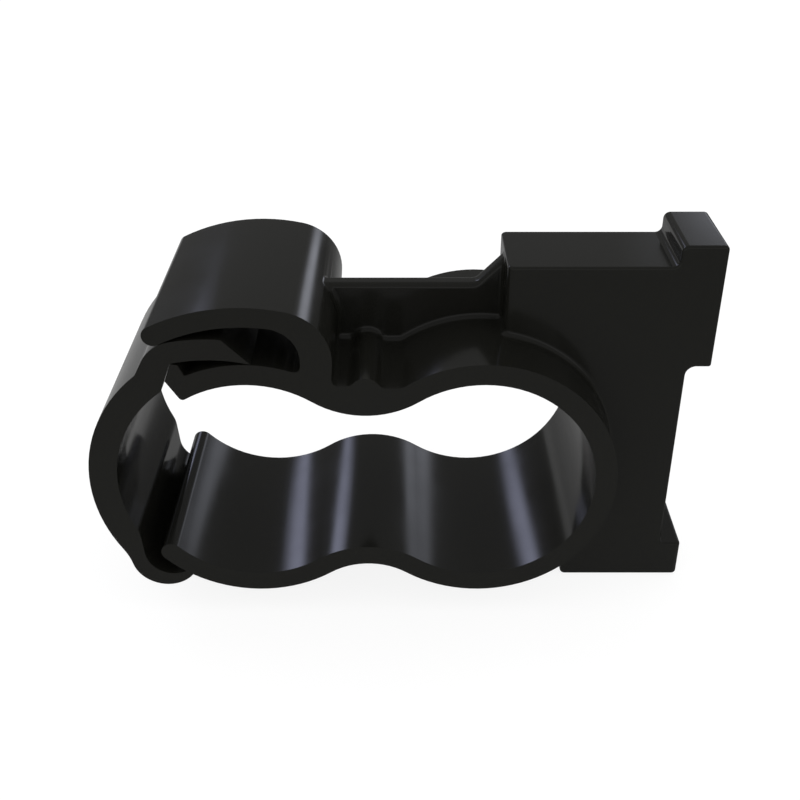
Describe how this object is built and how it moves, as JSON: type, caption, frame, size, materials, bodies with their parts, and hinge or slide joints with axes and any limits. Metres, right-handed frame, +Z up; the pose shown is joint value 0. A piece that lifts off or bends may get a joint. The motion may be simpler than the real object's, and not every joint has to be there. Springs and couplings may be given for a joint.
{
  "type": "cable clip",
  "caption": "Moulded clip that holds round cables or conduits side by side, with a living hinge, a snap latch and a mounting block.",
  "frame": {"origin": "on the axis of the cable seat beside the mounting block, half way along its depth", "axes": "+X from the latch to the mounting block, +Y along the cables, +Z up, towards the hook and the tab"},
  "size_m": [0.0544, 0.019, 0.0347],
  "materials": {
    "clip_body": "satin"
  },
  "bodies": {
    "root": {"clip_body": "clip_body"}
  },
  "joints": []
}
